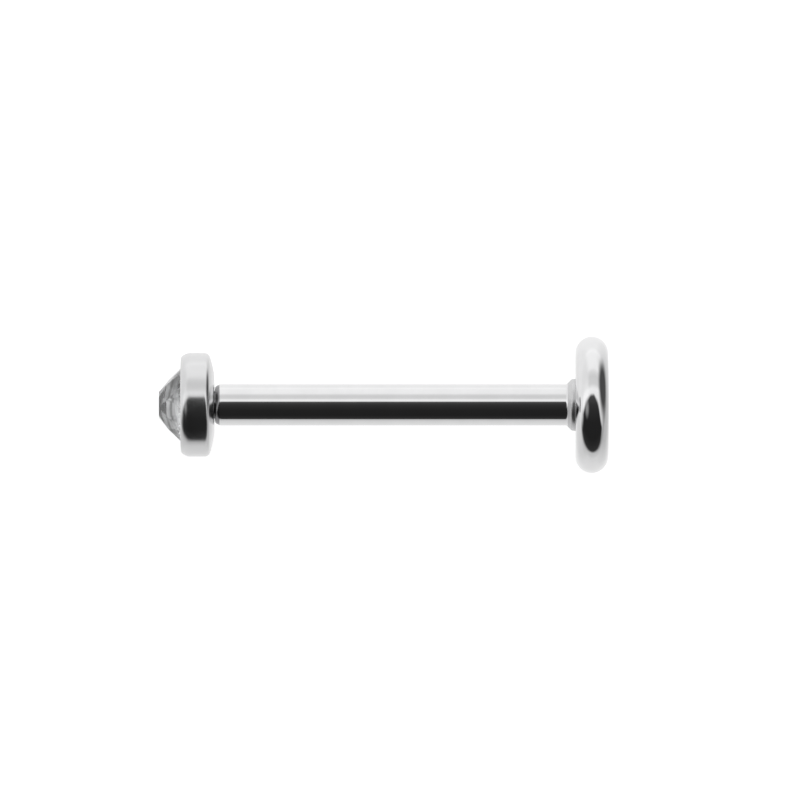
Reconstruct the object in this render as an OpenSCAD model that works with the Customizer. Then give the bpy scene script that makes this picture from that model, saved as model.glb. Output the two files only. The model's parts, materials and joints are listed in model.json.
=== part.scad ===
// Labret stud: a bar with a flat disc at one end, and a cup with a cut crystal screwed to the other.
// It lies on its side on z = 0, touching at the disc's rim and the cup's lip, with the crystal towards -X.
// Millimetres.

/* [Bar] */
// Diameter of the bar
bar_d = 1.2; // [1:0.1:1.6]
// Length worn in the piercing, from the back of the cup to the disc's inner face
wear_length = 10.42; // [5:0.01:16]
// Radius of the roll round the open end of the bar
end_round = 0.24; // [0.15:0.01:0.4]
// How far that roll falls from the bar's wall
end_drop = 0.095; // [0.04:0.005:0.15]
// Wall of the bar round its bore
bore_wall = 0.18; // [0.16:0.01:0.24]
// Length of the cup's stem inside the bar
stem_length = 2; // [1:0.1:3]

/* [Disc] */
// Diameter of the disc, over its round rim
disc_d = 3.95; // [3:0.05:6]
// Thickness of the disc, and so of its round rim
disc_t = 0.95; // [0.5:0.05:1.2]
// Height and length of the 45 degree flare between the bar and its collar
disc_flare = 0.15; // [0.05:0.05:0.45]
// Length of the collar between the flare and the disc
collar = 0.1; // [0.05:0.01:0.3]

/* [Crystal] */
// Diameter of the crystal at its girdle
stone_d = 2.43; // [1.8:0.01:4]
// Diameter of the table, over its corners
table_d = 0.76; // [0.5:0.01:1.1]
// Slope of the crown's main facets from the girdle plane
crown_angle = 43; // [30:0.5:48]
// Height of the upright band round the girdle
girdle_h = 0.04; // [0.02:0.01:0.1]
// Depth of the pavilion, from the girdle to its point
pavilion_h = 0.8; // [0.6:0.01:0.95]
// Share of the way from table to girdle that the star facets take
star_share = 0.42; // [0.3:0.01:0.6]
// Share of the way from girdle to point that the lower half facets take
lower_share = 0.78; // [0.6:0.01:0.85]
// Turn of the crystal in its cup, from a main facet straight up
stone_turn = 9.5; // [0:0.5:22.5]

/* [Cup] */
// Wall of the cup round the crystal's girdle
cup_wall = 0.265; // [0.2:0.005:0.5]
// Height of the cup, from its lip to its back
cup_h = 0.97; // [0.8:0.01:1.4]
// Radius of the lip's roll from the wall to its flat front
lip_round = 0.37; // [0.2:0.01:0.5]
// How far the lip's roll falls from the wall
lip_drop = 0.13; // [0.04:0.01:0.15]
// Width of the bevel inside the lip
lip_bevel = 0.045; // [0.02:0.005:0.1]
// Depth of the crystal's girdle below the lip
girdle_sink = 0.15; // [0.05:0.01:0.2]
// How far the domed back falls towards the wall
dome_h = 0.17; // [0.1:0.005:0.25]
// Width of the dome outside the flat middle of the back
dome_w = 0.85; // [0.5:0.01:0.95]
// Radius of the edge between the dome and the wall
dome_edge = 0.16; // [0.05:0.01:0.2]

/* [Fits] */
// Gap between the crystal and the cup
bed_gap = 0.02; // [0.01:0.005:0.04]
// Gap round the stem in the bore
stem_gap = 0.02; // [0.01:0.005:0.04]
// Gap between the back of the cup and the end of the bar
seat_gap = 0.02; // [0.01:0.005:0.04]
// Room left past the end of the stem
bore_room = 0.2; // [0.1:0.05:0.5]

/* [Hidden] */
$fn = 128;

// Along the stud's axis, 0 is the back of the cup and the disc is on the positive side
bar_r = bar_d / 2;
bore_r = bar_r - bore_wall;
stem_r = bore_r - stem_gap;
disc_r = disc_d / 2;
rim_r = disc_t / 2;
disc_end = wear_length + disc_t;
collar_r = bar_r + disc_flare;

// The bar's open end is part of a circle that meets its wall at a tangent
end_run = sqrt(pow(end_round, 2) - pow(end_round - end_drop, 2));
end_c = [bar_r - end_round, seat_gap + end_run];

stone_r = stone_d / 2;
table_r = table_d / 2;
crown_h = (stone_r - table_r) * tan(crown_angle);
seat_r = stone_r + bed_gap;
cup_r = seat_r + cup_wall;
girdle_top = girdle_sink - cup_h;
girdle_foot = girdle_top + girdle_h;
table_at = girdle_top - crown_h;
point_at = girdle_foot + pavilion_h;

// The crystal's rings of corners: mains every main_step degrees, and star tips and lower corners half a step on
mains = 8;
main_step = 360 / mains;
half_step = main_step / 2;
star_r = table_r + star_share * (stone_r - table_r);
star_at = table_at + crown_h * (star_r * cos(half_step) - table_r) / (stone_r - table_r);
lower_r = (1 - lower_share) * stone_r / cos(half_step);
lower_at = girdle_foot + lower_share * pavilion_h;

// The dome is an arc that leaves the flat of the back at a tangent and falls dome_h by the wall
dome_flat_r = cup_r - dome_w;
dome_r = (pow(dome_w, 2) + pow(dome_h, 2)) / (2 * dome_h);
edge_r = cup_r - dome_edge;
edge_at = sqrt(pow(dome_r - dome_edge, 2) - pow(edge_r - dome_flat_r, 2)) - dome_r;
dome_end_r = dome_flat_r + (edge_r - dome_flat_r) * dome_r / (dome_r - dome_edge);

// Centres of the two circles of the outline that touch the floor, the lip's roll and the disc's rim
lip_run = sqrt(pow(lip_round, 2) - pow(lip_round - lip_drop, 2));
lip_c = [lip_run - cup_h, cup_r - lip_round];
rim_c = [wear_length + rim_r, disc_r - rim_r];

// At rest the floor is the common tangent of those two circles
span = rim_c - lip_c;
tilt = atan2(span.y, span.x) + asin((rim_r - lip_round) / norm(span));
axis_z = lip_c.y * cos(tilt) - lip_c.x * sin(tilt) + lip_round;
low_x = table_at * cos(tilt) - table_r * cos(stone_turn) * sin(tilt);
high_x = rim_c.x * cos(tilt) + rim_c.y * sin(tilt) + rim_r;
axis_x = -(low_x + high_x) / 2;

// Turns a piece built along +Z into its place at rest
module at_rest() {
    translate([axis_x, 0, axis_z]) rotate([0, 90 - tilt, 0]) children();
}

// Half sections, with the radius across and the stud's axis upwards
module bar_section() {
    intersection() {
        translate(end_c) circle(end_round);
        translate([0, seat_gap]) square([bar_r, end_round]);
    }
    translate([0, seat_gap]) square([end_c.x, end_round]);
    translate([0, end_c.y]) square([bar_r, rim_c.x - end_c.y]);
}

module collar_section() {
    polygon([
        [0, wear_length - collar - disc_flare],
        [bar_r, wear_length - collar - disc_flare],
        [collar_r, wear_length - collar],
        [collar_r, rim_c.x],
        [0, rim_c.x]
    ]);
}

module disc_section() {
    translate([0, wear_length]) square([rim_c.y, disc_t]);
    translate([rim_c.y, rim_c.x]) circle(rim_r);
}

module cup_section() {
    // Lip, rolled from the wall to its flat front
    intersection() {
        translate([lip_c.y, lip_c.x]) circle(lip_round);
        translate([0, -cup_h]) square([cup_r, lip_round]);
    }
    translate([0, -cup_h]) square([lip_c.y, cup_h / 2]);
    // Straight wall
    translate([0, lip_c.x]) square([cup_r, edge_at - lip_c.x]);
    // Domed back with its flat middle and its rounded edge
    translate([edge_r, edge_at]) circle(dome_edge);
    translate([0, -cup_h / 2]) square([dome_flat_r, cup_h / 2]);
    intersection() {
        translate([dome_flat_r, -dome_r]) circle(dome_r);
        translate([0, -cup_h / 2]) square([dome_end_r, cup_h / 2]);
    }
    // Stem
    square([stem_r, stem_length]);
}

// The crystal's bed: its outline moved out and down by the gap, open past the lip
module bed_section() {
    polygon([
        [0, -cup_h - lip_drop],
        [seat_r + lip_bevel, -cup_h - lip_drop],
        [seat_r + lip_bevel, -cup_h],
        [seat_r, girdle_top],
        [seat_r, girdle_foot + bed_gap],
        [lower_r + bed_gap, lower_at + bed_gap],
        [0, point_at + 2 * bed_gap]
    ]);
}

// A ring of corners round the axis
function ring(count, r, at, turn) =
    [for (i = [0:count - 1]) [r * cos(turn + i * 360 / count), r * sin(turn + i * 360 / count), at]];

module labret_post() {
    color([0.78, 0.78, 0.79]) at_rest() difference() {
        rotate_extrude() {
            bar_section();
            collar_section();
            disc_section();
        }
        cylinder(h = stem_length + bore_room, r = bore_r);
    }
}

module gem_cup() {
    color([0.72, 0.72, 0.73]) at_rest() rotate_extrude() difference() {
        cup_section();
        bed_section();
    }
}

// Brilliant cut with a corner of its table, a main facet above and one below at each main_step
module crystal() {
    corners = concat(
        ring(mains, table_r, table_at, 0),
        ring(mains, star_r, star_at, half_step),
        ring(2 * mains, stone_r, girdle_top, 0),
        ring(2 * mains, stone_r, girdle_foot, 0),
        ring(mains, lower_r, lower_at, half_step),
        [[0, 0, point_at]]
    );
    star = mains;
    upper = 2 * mains;
    lower = 4 * mains;
    deep = 6 * mains;
    point = 7 * mains;
    facets = concat(
        [[for (i = [0:mains - 1]) i]],
        [for (i = [0:mains - 1]) let (j = (i + 1) % mains) each [
            [i, star + i, j],
            [j, star + i, upper + 2 * j, star + j],
            [star + i, upper + 2 * i, upper + 2 * i + 1],
            [star + i, upper + 2 * i + 1, upper + 2 * j],
            [upper + 2 * i, lower + 2 * i, lower + 2 * i + 1, upper + 2 * i + 1],
            [upper + 2 * i + 1, lower + 2 * i + 1, lower + 2 * j, upper + 2 * j],
            [lower + 2 * i, deep + i, lower + 2 * i + 1],
            [lower + 2 * i + 1, deep + i, lower + 2 * j],
            [lower + 2 * j, deep + i, point, deep + j]
        ]]
    );
    color([0.9, 0.93, 0.95]) at_rest() rotate(stone_turn) polyhedron(corners, facets);
}

labret_post();
gem_cup();
crystal();
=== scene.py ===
"""A labret stud on its side on a pale floor: polished, turned steel and a cut crystal in a round cup."""

import json
import math

import bmesh
import bpy
from mathutils import Matrix, Vector


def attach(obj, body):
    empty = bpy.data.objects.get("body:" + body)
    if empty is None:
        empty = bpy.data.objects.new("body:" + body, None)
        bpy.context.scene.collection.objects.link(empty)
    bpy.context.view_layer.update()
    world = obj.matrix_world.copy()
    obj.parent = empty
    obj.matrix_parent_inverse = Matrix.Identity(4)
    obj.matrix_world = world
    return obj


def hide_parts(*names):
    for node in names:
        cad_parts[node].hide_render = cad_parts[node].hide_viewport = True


# The frame is in metres
MM = 0.001

# Sizes in millimetres. Radii are from the stud's axis, and places along it from the back of the cup
DISC_R = 1.975
DISC_FLARE = 0.15
COLLAR = 0.1
END_ROUND = 0.24
END_DROP = 0.095
BORE_WALL = 0.18
BORE_ROOM = 0.2
STEM_LENGTH = 2.0
STEM_GAP = 0.02
SEAT_GAP = 0.02
BED_GAP = 0.02

STONE_R = 1.215
TABLE_R = 0.38
CROWN_ANGLE = math.radians(43)
GIRDLE_H = 0.04
PAVILION_H = 0.8
STAR_SHARE = 0.42
LOWER_SHARE = 0.78
STONE_TURN = math.radians(9.5)
MAINS = 8
HALF_STEP = math.pi / MAINS

CUP_WALL = 0.265
SEAT_R = STONE_R + BED_GAP
CUP_R = SEAT_R + CUP_WALL
CUP_H = 0.97
LIP_ROUND = 0.37
LIP_DROP = 0.13
LIP_BEVEL = 0.045
GIRDLE_SINK = 0.15
GIRDLE_TOP = GIRDLE_SINK - CUP_H
GIRDLE_FOOT = GIRDLE_TOP + GIRDLE_H
DOME_H = 0.17
DOME_W = 0.85
DOME_EDGE = 0.16

# Radii of the small rounds on the turned pieces' corners, and width of the facets' broken edges
EDGE = 0.014
LIP_EDGE = 0.06
END_EDGE = 0.02
FLARE_FOOT = 0.1
FLARE_TOP = 0.12
FACET_EDGE = 0.006
# The most of a stretch that the small round at its end may take
CUT_SHARE = 0.4

# How far along the bar its dull end goes, which is also darkened with painted shade where it meets the cup,
# and how high on the flare its polish goes
DULL_SHADED_END = 0.15
POLISHED_FLARE = DISC_FLARE / 3

# Faces round a turned piece, and degrees of an arc or a small round that a face along it takes
SIDES = 256
ARC_STEP = 2.5
ROUND_STEP = 12
# Stretches that meet at less than this get no small round between them
SMOOTH = math.radians(2)
# Places nearer than this are the same place
SAME = 1e-4

# The camera looks straight down on the stud's axis, from the distance that the photo's perspective gives
LENS = 600
SENSOR = 36
CAMERA_DISTANCE = 385
CLIP_RANGE = 10
# The photo's width, and where the stud's axis and the back of the cup lie in it
PIXELS = 800
AXIS_ROW = 404.8
CUP_BACK_COLUMN = 214.4

# The most light that STUDIO and DARK_LIGHT can give
LIGHT_MOST = 2
# Light of the studio round the X axis, by its angle in degrees from straight up towards +Y
STUDIO = [
    # angle, light in the middle, light towards -X
    (-180, 1.0, 0.95),
    (-145, 0.99, 0.88),
    (-120, 0.95, 0.86),
    (-104, 0.90, 0.76),
    (-94, 0.74, 0.70),
    (-84, 0.70, 0.75),
    (-30, 0.95, 1.2),
    (0, 1.10, 1.32),
    (18, 1.15, 1.32),
    (27, 1.22, 1.28),
    (36, 0.90, 1.13),
    (50, 0.87, 1.06),
    (58, 0.98, 1.04),
    (66, 1.18, 1.04),
    (80, 1.21, 1.05),
    (95, 1.22, 1.07),
    (105, 1.30, 1.10),
    (115, 1.17, 1.10),
    (145, 1.14, 1.10),
    (180, 1.0, 1.0),
]
# Angles towards +X, or negative towards -X, between which the second column of light takes over
TURN_FROM = -16
TURN_TO = -40
# The studio is dark overhead and towards -Y, between two edges that change with the angle towards +X
DARK = [
    # sideways, upper edge, lower edge, softness of both
    (-90, -40, -105, 16),
    (-68, -20, -99, 16),
    (-60, -6, -95, 15),
    (-52, 5, -94, 12),
    (-44, 9, -92, 9),
    (-36, 12, -90, 7),
    (-28, 14, -89, 6),
    (-20, 16.5, -88.5, 4.5),
    (-10, 17.5, -88, 3.5),
    (8, 17.5, -88, 3.5),
    (20, 12, -88.5, 5),
    (28, 8.5, -89, 6),
    (36, 4, -89, 9),
    (44, -6, -87.5, 12),
    (52, -26, -80, 16),
    (60, -55, -68, 18),
    (66, -80, -50, 10),
]
# Light that is left inside the dark, by the same angle as the studio's
DARK_LIGHT = [
    # angle, light
    (-90, 0.05),
    (-75, 0.03),
    (-60, 0.02),
    (-30, 0.022),
    (-12, 0.032),
    (0, 0.042),
    (8, 0.065),
    (20, 0.10),
]
# A small glow stands in the dark, with a soft edge between these degrees from its middle
GLOW_TOWARDS = (-0.66, -0.08, 0.74)
GLOW_FROM = 20
GLOW_TO = 2
GLOW_LIGHT = 0.36
# At the far end towards -X the studio is light all round
SIDE_FROM = -60
SIDE_TO = -84
SIDE_LIGHT = 1.1
# The light falls off towards +X, fully where a direction's upward part is under FALL_TO and not at all
# where it is over FALL_FROM
FALL = [
    # sideways, share
    (18, 1.0),
    (28, 0.94),
    (44, 0.82),
    (56, 0.69),
    (90, 0.66),
]
FALL_FROM = 0.4
FALL_TO = 0.0
# A dark card stands towards +X, with a soft edge between these degrees from its middle
CARD_TOWARDS = (0.93, 0.33, 0.165)
CARD_FROM = 42
CARD_TO = 17
CARD_LIGHT = 0.09
# What the camera sees behind the floor
BACKDROP_LIGHT = 1.05

# The foil behind the crystal: its colour by radius up to FOIL_SPAN, painted with reflections and shade (a
# painted dark ring among them), and then its fine rings of painted shade and its satin part
FOIL_SPAN = 1.3
FOIL_PAINTED_LIGHT = [
    # radius, painted light in the foil's colour
    (0, 0.95),
    (0.68, 0.95),
    (0.77, 0.88),
    (0.95, 0.76),
    (1.01, 0.38),
    (1.06, 0.72),
    (1.12, 0.95),
    (1.2, 0.95),
]
FOIL_WAVE = 0.03
RING_SCALE = 9
RING_DRIFT = 0.05
# How dark the foil's rings of painted shade get
RING_PAINTED_SHADE = 0.75
SATIN_FROM = 0.65
SATIN_TO = 0.78
FOIL_ROUGH = 0.06
SATIN_ROUGH = 0.3

# Fine lines and coarse clouds in the steel: their scales, the lines' stretch where it was drawn,
# their height in metres, the clouds' tint, and the least and most of the roughness that both make
LINE_SCALE = 22
DRAWN_STRETCH = 0.02
STEEL_RELIEF = 4e-8
CLOUD_SCALE = 1.6
CLOUD_TINT = 0.97
ROUGH_LEAST = 0.7
ROUGH_MOST = 1.4

# The crystal's glass, from its clean roughness to its smeared one
GLASS_COLOUR = (0.97, 0.98, 0.99)
GLASS_IOR = 1.56
GLASS_ROUGH = 0.05
SMEAR_ROUGH = 0.07
SMEAR_SCALE = 3

# The floor, and the tint of its lighter spots
FLOOR_SIZE = 600
FLOOR_GLOW = 0.9
FLOOR_COLOUR = (0.45, 0.45, 0.45)
FLOOR_ROUGH = 0.8
MOTTLE_SCALE = 40
MOTTLE_TINT = 1.04

# Order of the post's steels, and of the crystal's materials
END_SLOT, BAR_SLOT, JOINT_SLOT, DISC_SLOT = range(4)
GLASS_SLOT, FOIL_SLOT = range(2)

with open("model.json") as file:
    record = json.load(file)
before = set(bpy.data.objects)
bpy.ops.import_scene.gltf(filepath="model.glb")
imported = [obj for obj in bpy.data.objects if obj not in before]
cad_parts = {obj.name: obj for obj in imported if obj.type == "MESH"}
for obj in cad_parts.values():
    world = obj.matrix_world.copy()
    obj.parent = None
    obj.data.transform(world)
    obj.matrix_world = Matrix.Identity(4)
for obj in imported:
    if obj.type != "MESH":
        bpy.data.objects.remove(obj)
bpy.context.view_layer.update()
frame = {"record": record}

mounts = {mount["name"]: mount for mount in frame["record"]["mounts"]}
bar = mounts["piercing_length"]
AXIS = Vector(bar["axis"]).normalized()
BAR_R = bar["dims"]["r_mm"]
WEAR = bar["dims"]["length_mm"]
CUP_BACK = Vector(bar["pos_m"]) - AXIS * WEAR / 2 * MM
DISC_T = (Vector(mounts["disc_back"]["pos_m"]) - CUP_BACK).length / MM - WEAR
BORE_R = BAR_R - BORE_WALL
BORE_DEPTH = STEM_LENGTH + BORE_ROOM
STEM_R = BORE_R - STEM_GAP

# The stud's own frame has X along its axis to the disc, Y sideways and its origin at the back of the cup
ACROSS = Vector((0, 1, 0))
UP = AXIS.cross(ACROSS)
TURN = Matrix((AXIS, ACROSS, UP)).transposed()
PLACE = Matrix.Translation(CUP_BACK) @ TURN.to_4x4()


def polar(angle):
    """The unit vector at an angle, in an outline's (along, radius) plane."""
    return Vector((math.cos(angle), math.sin(angle)))


class Straight:
    """A straight stretch of an outline, with a small round after it. The solid is on its right."""

    def __init__(self, start, end, edge=EDGE):
        self.start = Vector(start)
        self.end = Vector(end)
        self.edge = edge
        self.length = (self.end - self.start).length
        self.steps = 1

    def point(self, share):
        """The point at a share of the way."""
        return self.start.lerp(self.end, share)

    def normal(self, share):
        """The outward normal there."""
        along = (self.end - self.start) / self.length
        return Vector((-along.y, along.x))


class Arc:
    """A bulging stretch of an outline between two angles in degrees, with a small round after it."""

    def __init__(self, centre, radius, first, last, edge=EDGE):
        self.centre = Vector(centre)
        self.radius = radius
        self.first = math.radians(first)
        self.sweep = math.radians(last - first)
        self.edge = edge
        self.length = abs(self.sweep) * radius
        self.steps = max(2, round(abs(last - first) / ARC_STEP))

    def point(self, share):
        """The point at a share of the way."""
        return self.centre + self.radius * polar(self.first + share * self.sweep)

    def normal(self, share):
        """The outward normal there."""
        return polar(self.first + share * self.sweep)


def turn_between(before, after):
    """The angle from one normal to another, which is negative at an outside corner."""
    return math.atan2(before.x * after.y - before.y * after.x, before.dot(after))


def corner_cut(before, after):
    """How much of two stretches the small round between them takes, or 0 where they meet smoothly."""
    turn = abs(turn_between(before.normal(1), after.normal(0)))
    if turn < SMOOTH:
        return 0
    most = CUT_SHARE * min(before.length, after.length)
    return min(before.edge * math.tan(turn / 2), most)


def small_round(start, first, last, cut):
    """Segments of a small round from a point, between two normals, round a corner or in a hollow."""
    turn = turn_between(first, last)
    radius = -cut / math.tan(turn / 2)
    centre = start - radius * first
    angle = math.atan2(first.y, first.x)
    steps = max(2, math.ceil(math.degrees(abs(turn)) / ROUND_STEP))
    normals = [polar(angle + turn * k / steps) for k in range(steps + 1)]
    return [(centre + radius * a, a, centre + radius * b, b) for a, b in zip(normals, normals[1:])]


def outline(stretches):
    """Short segments (start, its normal, end, its normal) along stretches and their small rounds."""
    cuts = [0, *map(corner_cut, stretches, stretches[1:]), 0]
    segments = []
    for stretch, before, after in zip(stretches, cuts, cuts[1:]):
        low = before / stretch.length
        high = 1 - after / stretch.length
        shares = [low + (high - low) * k / stretch.steps for k in range(stretch.steps + 1)]
        if before:
            _, _, end, normal = segments[-1]
            segments += small_round(end, normal, stretch.normal(low), before)
        for a, b in zip(shares, shares[1:]):
            segments.append((stretch.point(a), stretch.normal(a), stretch.point(b), stretch.normal(b)))
    return segments


def add_object(name, data):
    """An object in the scene, of a mesh or a camera."""
    made = bpy.data.objects.new(name, data)
    bpy.context.scene.collection.objects.link(made)
    return made


def lathe(name, segments, materials, pick):
    """Turns an outline round the axis. pick gives a segment's slot from its middle's place and radius."""
    points = [segments[0][0]] + [end for _, _, end, _ in segments]
    angles = [2 * math.pi * k / SIDES for k in range(SIDES)]
    vertices, rings = [], []
    for along, radius in points:
        first = len(vertices)
        if radius < SAME:
            vertices.append((along * MM, 0, 0))
            rings.append([first] * SIDES)
        else:
            vertices += [(along * MM, radius * math.sin(a) * MM, radius * math.cos(a) * MM) for a in angles]
            rings.append(list(range(first, first + SIDES)))
    faces, normals, slots = [], [], []
    for (start, first, end, last), ring, following in zip(segments, rings, rings[1:]):
        slot = pick(*((start + end) / 2))
        for k in range(SIDES):
            n = (k + 1) % SIDES
            corners = [(ring[k], first, k), (following[k], last, k)]
            if end.y > SAME:
                corners.append((following[n], last, n))
            if start.y > SAME:
                corners.append((ring[n], first, n))
            faces.append([corner[0] for corner in corners])
            slots.append(slot)
            for _, normal, side in corners:
                a = angles[side]
                normals.append(TURN @ Vector((normal.x, normal.y * math.sin(a), normal.y * math.cos(a))))
    mesh = bpy.data.meshes.new(name)
    mesh.from_pydata([PLACE @ Vector(vertex) for vertex in vertices], [], faces)
    mesh.polygons.foreach_set("use_smooth", [True] * len(faces))
    mesh.polygons.foreach_set("material_index", slots)
    for material in materials:
        mesh.materials.append(material)
    mesh.normals_split_custom_set(normals)
    mesh.validate()
    return add_object(name, mesh)


def post_steel(along, radius):
    """The slot of the bar's dull end with painted shade where it meets the cup, the drawn bar, the satin
    joint at its other end, or the disc.
    """
    if along < DULL_SHADED_END:
        return END_SLOT
    if along < WEAR and radius < BAR_R + POLISHED_FLARE:
        return BAR_SLOT
    return JOINT_SLOT if along < WEAR - SAME else DISC_SLOT


def tangent_arc(drop, radius):
    """How far an arc runs along the axis while it falls by drop, and its last angle in degrees."""
    share = 1 - drop / radius
    return radius * math.sqrt(1 - share**2), 180 - math.degrees(math.asin(share))


def post_outline():
    """The bar with its bore and rolled end, the collar with its flare, and the disc with its round rim."""
    rim_r = DISC_T / 2
    rim = (WEAR + rim_r, DISC_R - rim_r)
    run, end_angle = tangent_arc(END_DROP, END_ROUND)
    end = (SEAT_GAP + run, BAR_R - END_ROUND)
    collar_r = BAR_R + DISC_FLARE
    collar_at = WEAR - COLLAR
    foot = collar_at - DISC_FLARE
    return outline([
        Straight((BORE_DEPTH, 0), (BORE_DEPTH, BORE_R)),
        Straight((BORE_DEPTH, BORE_R), (SEAT_GAP, BORE_R)),
        Straight((SEAT_GAP, BORE_R), (SEAT_GAP, BAR_R - END_DROP), edge=END_EDGE),
        Arc(end, END_ROUND, end_angle, 90),
        Straight((SEAT_GAP + run, BAR_R), (foot, BAR_R), edge=FLARE_FOOT),
        Straight((foot, BAR_R), (collar_at, collar_r), edge=FLARE_TOP),
        Straight((collar_at, collar_r), (WEAR, collar_r)),
        Straight((WEAR, collar_r), (WEAR, rim[1])),
        Arc(rim, rim_r, 180, 0),
        Straight((WEAR + DISC_T, rim[1]), (WEAR + DISC_T, 0)),
    ])


def lower_corner():
    """Where a lower main facet's side corner lies, as (along, radius)."""
    radius = (1 - LOWER_SHARE) * STONE_R / math.cos(HALF_STEP)
    return Vector((GIRDLE_FOOT + LOWER_SHARE * PAVILION_H, radius))


def cup_outline():
    """The conical bed, the bevel, the flat front, the lip's roll, the wall, the domed back and the stem."""
    point = (GIRDLE_FOOT + PAVILION_H + 2 * BED_GAP, 0)
    deep = lower_corner() + Vector((BED_GAP, BED_GAP))
    seat_foot = (GIRDLE_FOOT + BED_GAP, SEAT_R)
    seat_top = (GIRDLE_TOP, SEAT_R)
    front = (-CUP_H, SEAT_R + LIP_BEVEL)
    run, lip_angle = tangent_arc(LIP_DROP, LIP_ROUND)
    lip = (run - CUP_H, CUP_R - LIP_ROUND)
    dome_r = (DOME_W**2 + DOME_H**2) / (2 * DOME_H)
    flat_r = CUP_R - DOME_W
    edge_r = CUP_R - DOME_EDGE
    edge_at = math.sqrt((dome_r - DOME_EDGE) ** 2 - (edge_r - flat_r) ** 2) - dome_r
    edge_angle = math.degrees(math.atan2(edge_r - flat_r, edge_at + dome_r))
    return outline([
        Straight(point, deep),
        Straight(deep, seat_foot),
        Straight(seat_foot, seat_top),
        Straight(seat_top, front),
        Straight(front, (-CUP_H, CUP_R - LIP_DROP), edge=LIP_EDGE),
        Arc(lip, LIP_ROUND, lip_angle, 90),
        Straight((lip[0], CUP_R), (edge_at, CUP_R)),
        Arc((edge_at, edge_r), DOME_EDGE, 90, edge_angle),
        Arc((-dome_r, flat_r), dome_r, edge_angle, 0),
        Straight((0, flat_r), (0, STEM_R)),
        Straight((0, STEM_R), (STEM_LENGTH, STEM_R)),
        Straight((STEM_LENGTH, STEM_R), (STEM_LENGTH, 0)),
    ])


def cut_crystal(name, glass, foil):
    """The brilliant-cut stone: glass down to the girdle's foot, and foil behind the pavilion's facets."""
    crown_h = (STONE_R - TABLE_R) * math.tan(CROWN_ANGLE)
    table_at = GIRDLE_TOP - crown_h
    star_r = TABLE_R + STAR_SHARE * (STONE_R - TABLE_R)
    star_at = table_at + crown_h * (star_r * math.cos(HALF_STEP) - TABLE_R) / (STONE_R - TABLE_R)
    lower_at, lower_r = lower_corner()

    stone = bmesh.new()

    def ring(count, radius, at, turn=0.0):
        """New corners round the axis."""
        angles = [turn - STONE_TURN + 2 * math.pi * k / count for k in range(count)]
        return [stone.verts.new((at, radius * math.sin(a), radius * math.cos(a))) for a in angles]

    table = ring(MAINS, TABLE_R, table_at)
    star = ring(MAINS, star_r, star_at, HALF_STEP)
    upper = ring(2 * MAINS, STONE_R, GIRDLE_TOP)
    lower = ring(2 * MAINS, STONE_R, GIRDLE_FOOT)
    deep = ring(MAINS, lower_r, lower_at, HALF_STEP)
    point = stone.verts.new((GIRDLE_FOOT + PAVILION_H, 0, 0))

    crown, girdle, pavilion = [table], [], []
    for i in range(MAINS):
        j = (i + 1) % MAINS
        main, middle, following = 2 * i, 2 * i + 1, 2 * j
        crown += [
            [table[i], star[i], table[j]],
            [table[j], star[i], upper[following], star[j]],
            [star[i], upper[main], upper[middle]],
            [star[i], upper[middle], upper[following]],
        ]
        girdle += [
            [upper[main], lower[main], lower[middle], upper[middle]],
            [upper[middle], lower[middle], lower[following], upper[following]],
        ]
        pavilion += [
            [lower[main], deep[i], lower[middle]],
            [lower[middle], deep[i], lower[following]],
            [lower[following], deep[i], point, deep[j]],
        ]
    for facets, slot in ((crown, GLASS_SLOT), (girdle, GLASS_SLOT), (pavilion, FOIL_SLOT)):
        for facet in facets:
            stone.faces.new(facet).material_index = slot
    bmesh.ops.recalc_face_normals(stone, faces=stone.faces)
    sharp = [
        edge for edge in stone.edges
        if all(face.material_index == GLASS_SLOT for face in edge.link_faces)
    ]
    bmesh.ops.bevel(stone, geom=sharp, offset=FACET_EDGE, segments=1, affect="EDGES", clamp_overlap=True)
    bmesh.ops.transform(stone, matrix=PLACE @ Matrix.Scale(MM, 4), verts=stone.verts)
    mesh = bpy.data.meshes.new(name)
    stone.to_mesh(mesh)
    stone.free()
    mesh.materials.append(glass)
    mesh.materials.append(foil)
    return add_object(name, mesh)


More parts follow.
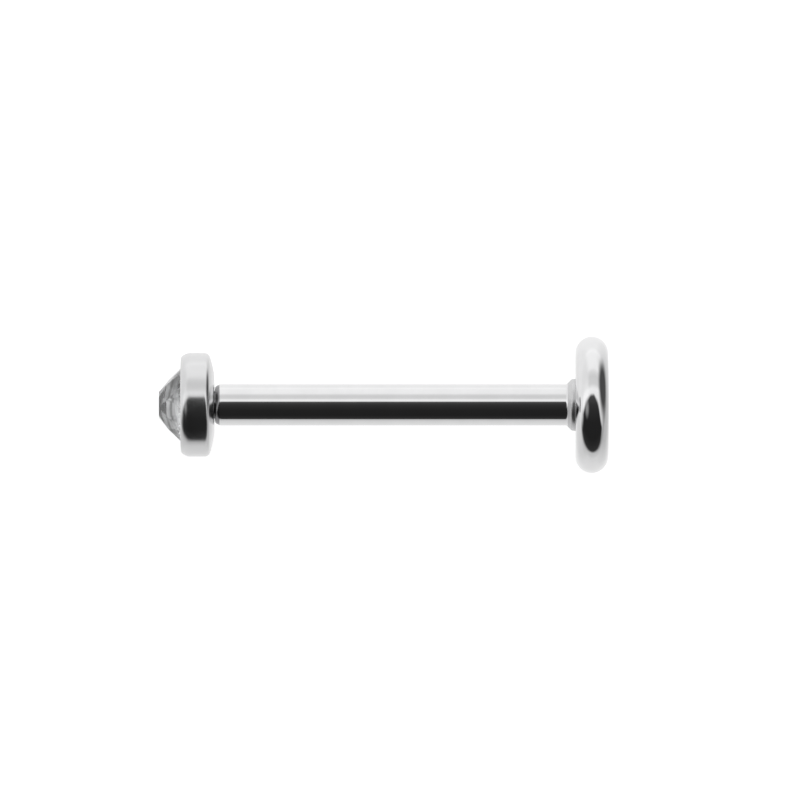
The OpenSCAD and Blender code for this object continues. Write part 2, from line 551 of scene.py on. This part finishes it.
class Nodes:
    """Short calls that build one node tree."""

    def __init__(self, tree):
        self.tree = tree
        tree.nodes.clear()

    def add(self, kind, **settings):
        """A new node."""
        node = self.tree.nodes.new("ShaderNode" + kind)
        for key, value in settings.items():
            setattr(node, key, value)
        return node

    def feed(self, socket, value):
        """Links a node's output to a socket, or sets a plain value on it."""
        if isinstance(value, bpy.types.NodeSocket):
            self.tree.links.new(value, socket)
        else:
            socket.default_value = value

    def math(self, operation, *values):
        """The result of a sum or function of numbers."""
        node = self.add("Math", operation=operation)
        for socket, value in zip(node.inputs, values):
            self.feed(socket, value)
        return node.outputs[0]

    def vector_math(self, operation, *values):
        """A node that works on vectors."""
        node = self.add("VectorMath", operation=operation)
        for socket, value in zip(node.inputs, values):
            self.feed(socket, value)
        return node

    def between(self, value, low, high, to_low=0.0, to_high=1.0, smooth=True):
        """A value mapped from low..high to to_low..to_high, and held beyond them."""
        node = self.add("MapRange", interpolation_type="SMOOTHSTEP" if smooth else "LINEAR")
        for socket, given in zip(node.inputs, (value, low, high, to_low, to_high)):
            self.feed(socket, given)
        return node.outputs[0]

    def spread(self, noise, to_low, to_high, reach=0.15):
        """A noise's values, which lie round 0.5, mapped to to_low..to_high."""
        return self.between(noise, 0.5 - reach, 0.5 + reach, to_low, to_high)

    def mix(self, share, a, b):
        """A number between a and b, by its share of b."""
        node = self.add("Mix", data_type="FLOAT")
        for socket, value in zip(node.inputs[:1] + node.inputs[2:4], (share, a, b)):
            self.feed(socket, value)
        return node.outputs[0]

    def split(self, vector):
        """A vector's three numbers."""
        node = self.add("SeparateXYZ")
        self.feed(node.inputs[0], vector)
        return node.outputs

    def join(self, x, y, z):
        """A vector of three numbers."""
        node = self.add("CombineXYZ")
        for socket, value in zip(node.inputs, (x, y, z)):
            self.feed(socket, value)
        return node.outputs[0]

    def noise(self, vector, scale, detail=2.0, roughness=0.5):
        """Noise by place."""
        node = self.add("TexNoise")
        self.feed(node.inputs["Vector"], vector)
        self.feed(node.inputs["Scale"], scale)
        self.feed(node.inputs["Detail"], detail)
        self.feed(node.inputs["Roughness"], roughness)
        return node.outputs["Fac"]

    def curve(self, value, low, high, rows, least, most):
        """A number that follows (value, number) rows: values are low to high, numbers least to most."""
        node = self.add("ValToRGB")
        ramp = node.color_ramp
        while len(ramp.elements) < len(rows):
            ramp.elements.new(1.0)
        for element, (place, number) in zip(ramp.elements, rows):
            element.position = (place - low) / (high - low)
            level = (number - least) / (most - least)
            element.color = (level, level, level, 1)
        self.feed(node.inputs[0], self.between(value, low, high, smooth=False))
        return self.between(node.outputs[0], 0, 1, least, most, smooth=False)


def new_material(name):
    """An empty material with a Principled shader, and calls to build its nodes."""
    material = bpy.data.materials.new(name)
    material.use_nodes = True
    nodes = Nodes(material.node_tree)
    shader = nodes.add("BsdfPrincipled")
    output = nodes.add("OutputMaterial")
    nodes.feed(output.inputs["Surface"], shader.outputs[0])
    return material, nodes, shader


def own_place(nodes):
    """A point's place in the stud's own frame, in millimetres: along, across, up, and its radius."""
    place = nodes.add("TexCoord").outputs["Object"]
    from_cup = nodes.vector_math("SUBTRACT", place, CUP_BACK).outputs["Vector"]
    along, across, up = (
        nodes.vector_math("DOT_PRODUCT", from_cup, direction / MM).outputs["Value"]
        for direction in (AXIS, ACROSS, UP)
    )
    squares = nodes.math("ADD", nodes.math("MULTIPLY", across, across), nodes.math("MULTIPLY", up, up))
    return along, across, up, nodes.math("SQRT", squares)


def polished_steel(name, colour, roughness, drawn=False):
    """Polished steel with faint lines, round the axis where it was turned or along it where it was drawn."""
    material, nodes, shader = new_material(name)
    along, across, up, radius = own_place(nodes)
    if drawn:
        lines = nodes.join(nodes.math("MULTIPLY", along, DRAWN_STRETCH), across, up)
    else:
        lines = nodes.join(along, radius, 0.0)
    fine = nodes.noise(lines, LINE_SCALE, 3, 0.6)
    coarse = nodes.noise(nodes.join(along, across, up), CLOUD_SCALE, 3, 0.55)
    tint = nodes.add("Mix", data_type="RGBA")
    nodes.feed(tint.inputs["Factor"], nodes.spread(coarse, 0, 1))
    nodes.feed(tint.inputs["A"], (*(c * CLOUD_TINT for c in colour), 1))
    nodes.feed(tint.inputs["B"], (*colour, 1))
    nodes.feed(shader.inputs["Base Color"], tint.outputs["Result"])
    nodes.feed(shader.inputs["Metallic"], 1.0)
    # Two noises together lie round 1
    both = nodes.math("ADD", fine, coarse)
    rough = nodes.between(both, 0.7, 1.3, roughness * ROUGH_LEAST, roughness * ROUGH_MOST)
    nodes.feed(shader.inputs["Roughness"], rough)
    bump = nodes.add("Bump")
    nodes.feed(bump.inputs["Distance"], STEEL_RELIEF)
    nodes.feed(bump.inputs["Height"], fine)
    nodes.feed(shader.inputs["Normal"], bump.outputs[0])
    return material


def cut_glass():
    """Clear crystal glass, a little soft in its polish."""
    material, nodes, shader = new_material("cut_glass")
    along, across, up, _ = own_place(nodes)
    smear = nodes.noise(nodes.join(along, across, up), SMEAR_SCALE, 3)
    nodes.feed(shader.inputs["Base Color"], (*GLASS_COLOUR, 1))
    nodes.feed(shader.inputs["Roughness"], nodes.spread(smear, GLASS_ROUGH, SMEAR_ROUGH))
    nodes.feed(shader.inputs["IOR"], GLASS_IOR)
    nodes.feed(shader.inputs["Transmission Weight"], 1.0)
    return material


def silver_foil():
    """Silver foil behind the pavilion, with painted light and shade in its colour: bright in the middle and
    with satin rings of painted shade towards the girdle.
    """
    material, nodes, shader = new_material("silver_foil")
    _, across, up, radius = own_place(nodes)
    wave = nodes.spread(nodes.noise(nodes.join(0.0, across, up), 1.5), -FOIL_WAVE, FOIL_WAVE, reach=0.2)
    # Painted reflections and painted shade: the foil's colour follows its radius
    light = nodes.curve(nodes.math("ADD", radius, wave), 0, FOIL_SPAN, FOIL_PAINTED_LIGHT, 0, 1)
    drift = (nodes.math("MULTIPLY", side, RING_DRIFT) for side in (across, up))
    # Fine rings of painted shade in the satin part
    rings = nodes.noise(nodes.join(radius, *drift), RING_SCALE, 0)
    outer = nodes.between(radius, SATIN_FROM, SATIN_TO)
    rings = nodes.mix(outer, 1.0, nodes.spread(rings, RING_PAINTED_SHADE, 1.0))
    light = nodes.math("MULTIPLY", light, rings)
    nodes.feed(shader.inputs["Base Color"], nodes.join(light, light, light))
    nodes.feed(shader.inputs["Metallic"], 1.0)
    nodes.feed(shader.inputs["Roughness"], nodes.mix(outer, FOIL_ROUGH, SATIN_ROUGH))
    return material


def pale_floor():
    """A wide pale surface that glows a little, as a lit white table does."""
    material, nodes, shader = new_material("pale_floor")
    mottle = nodes.noise(nodes.add("TexCoord").outputs["Object"], MOTTLE_SCALE, 3)
    tint = nodes.add("Mix", data_type="RGBA")
    nodes.feed(tint.inputs["Factor"], nodes.spread(mottle, 0, 1, reach=0.2))
    nodes.feed(tint.inputs["A"], (*FLOOR_COLOUR, 1))
    nodes.feed(tint.inputs["B"], (*(c * MOTTLE_TINT for c in FLOOR_COLOUR), 1))
    nodes.feed(shader.inputs["Base Color"], tint.outputs["Result"])
    nodes.feed(shader.inputs["Roughness"], FLOOR_ROUGH)
    nodes.feed(shader.inputs["Specular IOR Level"], 0.0)
    nodes.feed(shader.inputs["Emission Color"], (1, 1, 1, 1))
    nodes.feed(shader.inputs["Emission Strength"], FLOOR_GLOW)
    mesh = bpy.data.meshes.new("floor")
    half = FLOOR_SIZE / 2 * MM
    corners = [(-half, -half, 0), (half, -half, 0), (half, half, 0), (-half, half, 0)]
    mesh.from_pydata(corners, [], [(0, 1, 2, 3)])
    mesh.materials.append(material)
    floor = add_object("floor", mesh)
    floor.visible_glossy = False


def studio():
    """Soft studio light: bright behind and to the sides, and dark overhead and in front."""
    world = bpy.data.worlds.new("studio")
    bpy.context.scene.world = world
    world.use_nodes = True
    nodes = Nodes(world.node_tree)
    direction = nodes.add("TexCoord").outputs["Generated"]
    x, y, z = nodes.split(direction)
    turn = nodes.math("DEGREES", nodes.math("ARCTAN2", y, z))
    sideways = nodes.math("DEGREES", nodes.math("ARCSINE", x))

    def within(towards, start, end):
        """A share that goes from 0 to 1 between two angles from a direction."""
        cosine = nodes.vector_math("DOT_PRODUCT", direction, Vector(towards).normalized())
        off = nodes.math("DEGREES", nodes.math("ARCCOSINE", cosine.outputs["Value"]))
        return nodes.between(off, start, end)

    middle, side = (
        nodes.curve(turn, -180, 180, [(row[0], row[column]) for row in STUDIO], 0, LIGHT_MOST)
        for column in (1, 2)
    )
    light = nodes.mix(nodes.between(sideways, TURN_FROM, TURN_TO), middle, side)
    share = nodes.curve(sideways, -90, 90, FALL, 0, 1)
    share = nodes.mix(nodes.between(z, FALL_FROM, FALL_TO), 1.0, share)
    light = nodes.math("MULTIPLY", light, share)
    light = nodes.mix(within(CARD_TOWARDS, CARD_FROM, CARD_TO), light, CARD_LIGHT)

    upper, lower, soft = (
        nodes.curve(sideways, -90, 90, [(row[0], row[column]) for row in DARK], -180, 180)
        for column in (1, 2, 3)
    )
    under = nodes.between(turn, nodes.math("ADD", upper, soft), nodes.math("SUBTRACT", upper, soft))
    over = nodes.between(turn, nodes.math("SUBTRACT", lower, soft), nodes.math("ADD", lower, soft))
    left = nodes.curve(turn, -180, 180, DARK_LIGHT, 0, LIGHT_MOST)
    left = nodes.mix(within(GLOW_TOWARDS, GLOW_FROM, GLOW_TO), left, GLOW_LIGHT)
    light = nodes.mix(nodes.math("MULTIPLY", under, over), light, left)
    light = nodes.mix(nodes.between(sideways, SIDE_FROM, SIDE_TO), light, SIDE_LIGHT)
    seen = nodes.add("LightPath").outputs["Is Camera Ray"]
    light = nodes.mix(seen, light, BACKDROP_LIGHT)
    background = nodes.add("Background")
    nodes.feed(background.inputs["Color"], nodes.join(light, light, light))
    output = nodes.add("OutputWorld")
    nodes.feed(output.inputs["Surface"], background.outputs[0])


def camera():
    """The photo's camera, square to the bar's axis."""
    data = bpy.data.cameras.new("camera")
    data.lens = LENS
    data.sensor_width = SENSOR
    data.clip_start = CAMERA_DISTANCE * MM / CLIP_RANGE
    data.clip_end = CAMERA_DISTANCE * MM * CLIP_RANGE
    pixels_per_mm = PIXELS * LENS / (SENSOR * CAMERA_DISTANCE)
    right = (PIXELS / 2 - CUP_BACK_COLUMN) / pixels_per_mm
    above = (AXIS_ROW - PIXELS / 2) / pixels_per_mm
    middle = CUP_BACK + (AXIS * right + ACROSS * above) * MM
    made = add_object("camera", data)
    made.matrix_world = Matrix.Translation(middle + UP * CAMERA_DISTANCE * MM) @ TURN.to_4x4()
    bpy.context.scene.camera = made


camera()
studio()
pale_floor()

# The bar's end by the cup: rougher, and darker with painted shade in its colour
dull_shaded_end_steel = polished_steel("dull_shaded_end_steel", colour=(0.42, 0.42, 0.425), roughness=0.12)
bar_steel = polished_steel("bar_steel", colour=(0.70, 0.70, 0.705), roughness=0.05, drawn=True)
disc_steel = polished_steel("disc_steel", colour=(0.70, 0.70, 0.705), roughness=0.05)
cup_steel = polished_steel("cup_steel", colour=(0.64, 0.64, 0.645), roughness=0.18)
joint_steel = polished_steel("joint_steel", colour=(0.58, 0.58, 0.585), roughness=0.3)
# In the order of the post's slots
post_steels = [dull_shaded_end_steel, bar_steel, joint_steel, disc_steel]
post = lathe("labret_post_turned", post_outline(), post_steels, post_steel)
cup = lathe("gem_cup_turned", cup_outline(), [cup_steel], lambda along, radius: 0)
stone = cut_crystal("crystal_cut", cut_glass(), silver_foil())

for piece, node, slot in (
    (post, "labret_post", "steel"),
    (cup, "gem_cup", "cup_steel"),
    (stone, "crystal", "crystal"),
):
    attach(piece, "root")
    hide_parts(node)

bpy.context.scene.view_settings.view_transform = "Standard"
